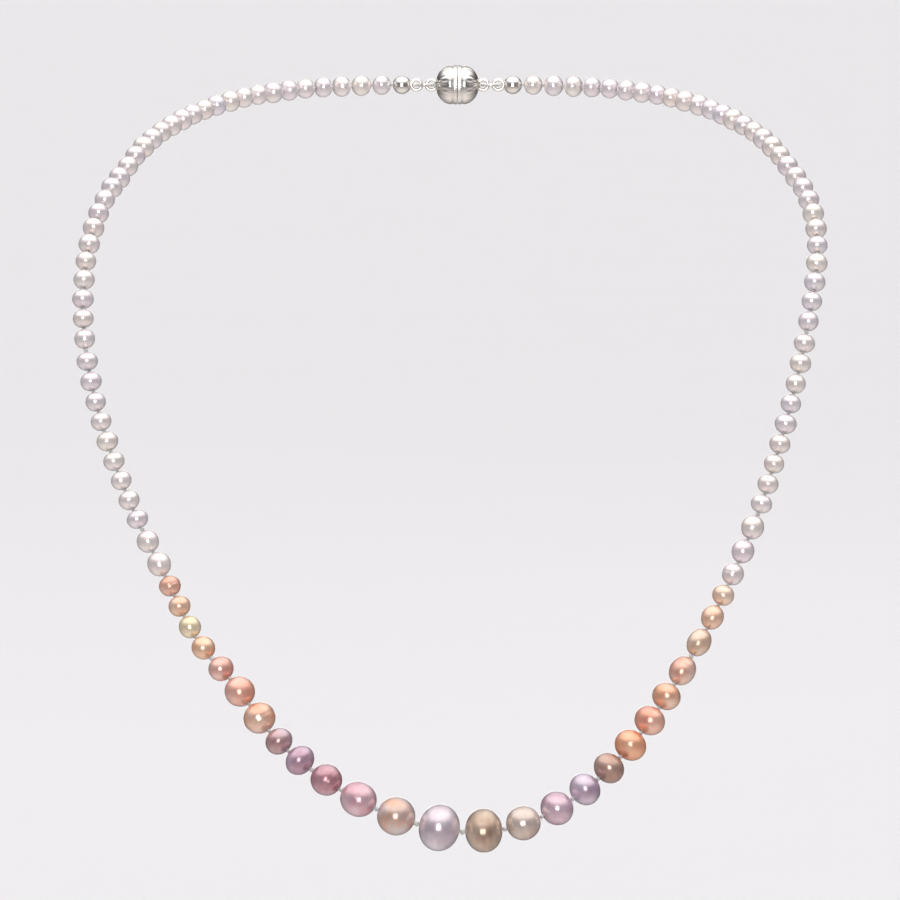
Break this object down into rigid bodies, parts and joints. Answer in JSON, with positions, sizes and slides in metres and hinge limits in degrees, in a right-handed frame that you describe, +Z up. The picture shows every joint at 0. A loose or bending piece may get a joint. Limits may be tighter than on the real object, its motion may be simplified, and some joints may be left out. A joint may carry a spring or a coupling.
{
  "type": "pearl necklace",
  "caption": "Graduated strand of freshwater pearls knotted on silk, white at the back and shaded peach, mauve and grey at the front, with a round magnetic clasp at the nape.",
  "frame": {"origin": "midway between the two points where the strand crosses the tops of the shoulders, at the middle of the neck", "axes": "+Z up, -Y towards the front of the wearer, +X towards the right of someone facing the wearer"},
  "size_m": [0.1347, 0.1212, 0.1359],
  "materials": {
    "pearl_white": "natural nacre, soft lustre",
    "pearl_silver": "natural nacre, soft lustre",
    "pearl_champagne": "natural nacre, soft lustre",
    "pearl_mauve": "natural nacre, soft lustre",
    "pearl_rose": "natural nacre, soft lustre",
    "pearl_peach": "natural nacre, soft lustre",
    "pearl_cream": "natural nacre, soft lustre",
    "pearl_taupe": "natural nacre, soft lustre",
    "pearl_lavender": "natural nacre, soft lustre",
    "silk": "twisted silk",
    "silver": "polished silver",
    "magnet": "nickel plated"
  },
  "bodies": {
    "shoulders": {"pearls_left_shoulder": "pearl_white", "pearls_right_shoulder": "pearl_white", "silk_left_shoulder": "silk", "silk_right_shoulder": "silk"},
    "drape_upper": {"pearls_left_upper": "pearl_white", "pearls_right_upper": "pearl_white", "silk_left_upper": "silk", "silk_right_upper": "silk"},
    "drape_middle": {"silk_left_middle": "silk", "silk_right_middle": "silk"},
    "drape_lower": {"silk_left_lower": "silk", "silk_right_lower": "silk"},
    "drape_centre": {"silk_centre": "silk"},
    "right_back": {"pearls_right_back": "pearl_white", "silk_right_back": "silk"},
    "right_nape": {"pearls_right_nape": "pearl_white", "silk_right_nape": "silk", "bead_tip_right": "silver"},
    "right_clasp": {"jump_ring_right": "silver", "clasp_cup_right": "silver", "clasp_magnet_right": "magnet"},
    "left_back": {"pearls_left_back": "pearl_white", "silk_left_back": "silk"},
    "left_nape": {"pearls_left_nape": "pearl_white", "silk_left_nape": "silk", "bead_tip_left": "silver"},
    "left_clasp": {"jump_ring_left": "silver", "clasp_cup_left": "silver", "clasp_magnet_left": "magnet"},
    "pearl_left_01": {"pearl_left_01": "pearl_silver"},
    "pearl_left_02": {"pearl_left_02": "pearl_champagne"},
    "pearl_left_03": {"pearl_left_03": "pearl_mauve"},
    "pearl_left_04": {"pearl_left_04": "pearl_rose"},
    "pearl_left_05": {"pearl_left_05": "pearl_mauve"},
    "pearl_left_06": {"pearl_left_06": "pearl_mauve"},
    "pearl_left_07": {"pearl_left_07": "pearl_peach"},
    "pearl_left_08": {"pearl_left_08": "pearl_peach"},
    "pearl_left_09": {"pearl_left_09": "pearl_peach"},
    "pearl_left_10": {"pearl_left_10": "pearl_peach"},
    "pearl_left_11": {"pearl_left_11": "pearl_cream"},
    "pearl_left_12": {"pearl_left_12": "pearl_peach"},
    "pearl_left_13": {"pearl_left_13": "pearl_peach"},
    "pearl_left_14": {"pearl_left_14": "pearl_white"},
    "pearl_left_15": {"pearl_left_15": "pearl_white"},
    "pearl_right_01": {"pearl_right_01": "pearl_taupe"},
    "pearl_right_02": {"pearl_right_02": "pearl_champagne"},
    "pearl_right_03": {"pearl_right_03": "pearl_lavender"},
    "pearl_right_04": {"pearl_right_04": "pearl_lavender"},
    "pearl_right_05": {"pearl_right_05": "pearl_taupe"},
    "pearl_right_06": {"pearl_right_06": "pearl_peach"},
    "pearl_right_07": {"pearl_right_07": "pearl_peach"},
    "pearl_right_08": {"pearl_right_08": "pearl_peach"},
    "pearl_right_09": {"pearl_right_09": "pearl_peach"},
    "pearl_right_10": {"pearl_right_10": "pearl_champagne"},
    "pearl_right_11": {"pearl_right_11": "pearl_peach"},
    "pearl_right_12": {"pearl_right_12": "pearl_peach"},
    "pearl_right_13": {"pearl_right_13": "pearl_white"},
    "pearl_right_14": {"pearl_right_14": "pearl_white"},
    "pearl_right_15": {"pearl_right_15": "pearl_white"}
  },
  "joints": [
    {"name": "back_open", "type": "hinge", "parent": "shoulders", "child": "right_back", "pos_m": [0.06, 0, 0], "axis": [0, 0, -1], "range_deg": [0, 40]},
    {"name": "nape_bend_right", "type": "hinge", "parent": "right_back", "child": "right_nape", "pos_m": [0.04279, 0.03243, 0.01168], "axis": [0, 0, -1], "range_deg": [0, 20]},
    {"name": "clasp_turn_right", "type": "hinge", "parent": "right_nape", "child": "right_clasp", "pos_m": [0.00615, 0.054, 0.0145], "axis": [0, 0, -1], "range_deg": [-60, 0]},
    {"name": "back_open_left", "type": "hinge", "parent": "shoulders", "child": "left_back", "pos_m": [-0.06, 0, 0], "axis": [0, 0, 1], "range_deg": [0, 40]},
    {"name": "nape_bend_left", "type": "hinge", "parent": "left_back", "child": "left_nape", "pos_m": [-0.04279, 0.03243, 0.01168], "axis": [0, 0, 1], "range_deg": [0, 20]},
    {"name": "clasp_turn_left", "type": "hinge", "parent": "left_nape", "child": "left_clasp", "pos_m": [-0.00615, 0.054, 0.0145], "axis": [0, 0, 1], "range_deg": [-60, 0]},
    {"name": "drape_1_upper", "type": "hinge", "parent": "shoulders", "child": "drape_upper", "pos_m": [-0.00206, -0.02524, -0.02936], "axis": [-0.9997, -0.0098, -0.0245], "range_deg": [0, 30]},
    {"name": "drape_2_middle", "type": "hinge", "parent": "drape_upper", "child": "drape_middle", "pos_m": [-0.00137, -0.03613, -0.06086], "axis": [-0.9997, -0.0047, -0.0243], "range_deg": [0, 30]},
    {"name": "drape_3_lower", "type": "hinge", "parent": "drape_middle", "child": "drape_lower", "pos_m": [-0.0011, -0.0453, -0.0843], "axis": [-1, -0.0013, -0.0039], "range_deg": [0, 30]},
    {"name": "drape_4_centre", "type": "hinge", "parent": "drape_lower", "child": "drape_centre", "pos_m": [-0.00053, -0.05458, -0.10426], "axis": [-0.9994, 0.0138, 0.0316], "range_deg": [0, 30]},
    {"name": "spin_left_01", "type": "hinge", "parent": "drape_centre", "child": "pearl_left_01", "pos_m": [-0.00325, -0.05929, -0.11328], "axis": [-0.9818, 0.074, 0.175], "continuous": true},
    {"name": "spin_right_01", "type": "hinge", "parent": "drape_centre", "child": "pearl_right_01", "pos_m": [0.00456, -0.05953, -0.11376], "axis": [0.9977, 0.019, 0.065], "continuous": true},
    {"name": "spin_left_02", "type": "hinge", "parent": "drape_centre", "child": "pearl_left_02", "pos_m": [-0.0108, -0.05833, -0.11131], "axis": [-0.9292, 0.172, 0.3271], "continuous": true},
    {"name": "spin_right_02", "type": "hinge", "parent": "drape_centre", "child": "pearl_right_02", "pos_m": [0.01151, -0.0589, -0.11248], "axis": [0.9404, 0.1621, 0.2991], "continuous": true},
    {"name": "spin_left_03", "type": "hinge", "parent": "drape_centre", "child": "pearl_left_03", "pos_m": [-0.01743, -0.05682, -0.10845], "axis": [-0.8618, 0.238, 0.4479], "continuous": true},
    {"name": "spin_right_03", "type": "hinge", "parent": "drape_centre", "child": "pearl_right_03", "pos_m": [0.01741, -0.05753, -0.10997], "axis": [0.8448, 0.2579, 0.4689], "continuous": true},
    {"name": "spin_left_04", "type": "hinge", "parent": "drape_centre", "child": "pearl_left_04", "pos_m": [-0.02309, -0.0551, -0.10516], "axis": [-0.8043, 0.2701, 0.5292], "continuous": true},
    {"name": "spin_right_04", "type": "hinge", "parent": "drape_centre", "child": "pearl_right_04", "pos_m": [0.02235, -0.05582, -0.10677], "axis": [0.7589, 0.3, 0.578], "continuous": true},
    {"name": "spin_left_05", "type": "hinge", "parent": "drape_lower", "child": "pearl_left_05", "pos_m": [-0.02774, -0.05346, -0.10185], "axis": [-0.7563, 0.2841, 0.5893], "continuous": true},
    {"name": "spin_right_05", "type": "hinge", "parent": "drape_lower", "child": "pearl_right_05", "pos_m": [0.0266, -0.05403, -0.10318], "axis": [0.692, 0.31, 0.652], "continuous": true},
    {"name": "spin_left_06", "type": "hinge", "parent": "drape_lower", "child": "pearl_left_06", "pos_m": [-0.03145, -0.05194, -0.0986], "axis": [-0.6761, 0.3041, 0.6711], "continuous": true},
    {"name": "spin_right_06", "type": "hinge", "parent": "drape_lower", "child": "pearl_right_06", "pos_m": [0.03039, -0.0522, -0.09927], "axis": [0.6268, 0.3259, 0.7078], "continuous": true},
    {"name": "spin_left_07", "type": "hinge", "parent": "drape_lower", "child": "pearl_left_07", "pos_m": [-0.0349, -0.05017, -0.09462], "axis": [-0.5728, 0.3289, 0.7508], "continuous": true},
    {"name": "spin_right_07", "type": "hinge", "parent": "drape_lower", "child": "pearl_right_07", "pos_m": [0.03381, -0.05025, -0.09509], "axis": [0.5633, 0.3522, 0.7474], "continuous": true},
    {"name": "spin_left_08", "type": "hinge", "parent": "drape_lower", "child": "pearl_left_08", "pos_m": [-0.03841, -0.04813, -0.09009], "axis": [-0.5802, 0.3441, 0.7382], "continuous": true},
    {"name": "spin_right_08", "type": "hinge", "parent": "drape_lower", "child": "pearl_right_08", "pos_m": [0.03678, -0.04831, -0.09094], "axis": [0.524, 0.36, 0.7719], "continuous": true},
    {"name": "spin_left_09", "type": "hinge", "parent": "drape_lower", "child": "pearl_left_09", "pos_m": [-0.04174, -0.04624, -0.08621], "axis": [-0.6472, 0.3461, 0.6792], "continuous": true},
    {"name": "spin_right_09", "type": "hinge", "parent": "drape_lower", "child": "pearl_right_09", "pos_m": [0.03965, -0.04632, -0.08657], "axis": [0.5031, 0.3501, 0.7902], "continuous": true},
    {"name": "spin_left_10", "type": "hinge", "parent": "drape_middle", "child": "pearl_left_10", "pos_m": [-0.04489, -0.0445, -0.08262], "axis": [-0.5903, 0.3392, 0.7324], "continuous": true},
    {"name": "spin_right_10", "type": "hinge", "parent": "drape_middle", "child": "pearl_right_10", "pos_m": [0.04261, -0.04423, -0.08171], "axis": [0.4729, 0.3399, 0.8129], "continuous": true},
    {"name": "spin_left_11", "type": "hinge", "parent": "drape_middle", "child": "pearl_left_11", "pos_m": [-0.04729, -0.04297, -0.07905], "axis": [-0.456, 0.326, 0.8281], "continuous": true},
    {"name": "spin_right_11", "type": "hinge", "parent": "drape_middle", "child": "pearl_right_11", "pos_m": [0.04502, -0.04245, -0.07737], "axis": [0.4371, 0.334, 0.8351], "continuous": true},
    {"name": "spin_left_12", "type": "hinge", "parent": "drape_middle", "child": "pearl_left_12", "pos_m": [-0.04915, -0.04156, -0.07544], "axis": [-0.4082, 0.3321, 0.8503], "continuous": true},
    {"name": "spin_right_12", "type": "hinge", "parent": "drape_middle", "child": "pearl_right_12", "pos_m": [0.04695, -0.04095, -0.07355], "axis": [0.414, 0.326, 0.8499], "continuous": true},
    {"name": "spin_left_13", "type": "hinge", "parent": "drape_middle", "child": "pearl_left_13", "pos_m": [-0.05087, -0.04016, -0.07197], "axis": [-0.4249, 0.3479, 0.8357], "continuous": true},
    {"name": "spin_right_13", "type": "hinge", "parent": "drape_middle", "child": "pearl_right_13", "pos_m": [0.0487, -0.03957, -0.0699], "axis": [0.4019, 0.3179, 0.8587], "continuous": true},
    {"name": "spin_left_14", "type": "hinge", "parent": "drape_middle", "child": "pearl_left_14", "pos_m": [-0.05282, -0.03862, -0.0682], "axis": [-0.436, 0.336, 0.8349], "continuous": true},
    {"name": "spin_right_14", "type": "hinge", "parent": "drape_middle", "child": "pearl_right_14", "pos_m": [0.05049, -0.03814, -0.06595], "axis": [0.3829, 0.311, 0.8699], "continuous": true},
    {"name": "spin_left_15", "type": "hinge", "parent": "drape_middle", "child": "pearl_left_15", "pos_m": [-0.05485, -0.03712, -0.06424], "axis": [-0.4292, 0.3012, 0.8515], "continuous": true},
    {"name": "spin_right_15", "type": "hinge", "parent": "drape_middle", "child": "pearl_right_15", "pos_m": [0.05224, -0.03666, -0.06179], "axis": [0.3539, 0.3089, 0.8828], "continuous": true}
  ],
  "couplings": [
    {"joint": "nape_bend_right", "follows": "back_open", "ratio": 0.5},
    {"joint": "clasp_turn_right", "follows": "back_open", "ratio": -1.5},
    {"joint": "back_open_left", "follows": "back_open", "ratio": 1},
    {"joint": "nape_bend_left", "follows": "back_open", "ratio": 0.5},
    {"joint": "clasp_turn_left", "follows": "back_open", "ratio": -1.5}
  ]
}
